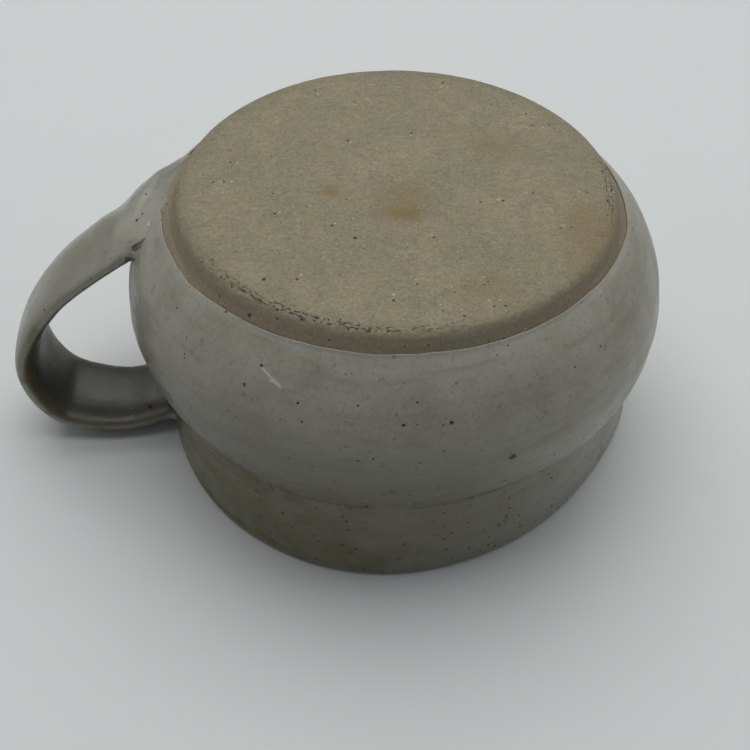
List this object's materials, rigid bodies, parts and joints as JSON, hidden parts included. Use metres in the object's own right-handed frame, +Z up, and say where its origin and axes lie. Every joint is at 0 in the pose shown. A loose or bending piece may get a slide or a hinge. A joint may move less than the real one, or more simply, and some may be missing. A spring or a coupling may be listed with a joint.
{
  "type": "stoneware mug",
  "caption": "Squat wheel-thrown stoneware mug with a round belly, an upright collar, a bare flat foot and a pulled strap handle, in speckled grey glaze.",
  "frame": {"origin": "centre of the flat foot, on the throwing axis", "axes": "+Z up from the mouth to the foot, because the mug stands upside down on its lip, as in the picture; +X from the axis out through the middle of the handle"},
  "size_m": [0.1462, 0.118, 0.064],
  "materials": {
    "bare_clay": "matte buff stoneware with fine pale grog and small dark pits",
    "outer_glaze": "satin warm grey glaze with iron specks",
    "liner_glaze": "smooth glossy pale grey liner glaze with fewer specks"
  },
  "bodies": {
    "root": {"thrown_body": "bare_clay", "liner_glaze": "liner_glaze", "outer_glaze": "outer_glaze", "handle_strap": "bare_clay", "foot_joint_slip": "outer_glaze", "collar_joint_slip": "outer_glaze", "handle_glaze": "outer_glaze"}
  },
  "joints": []
}
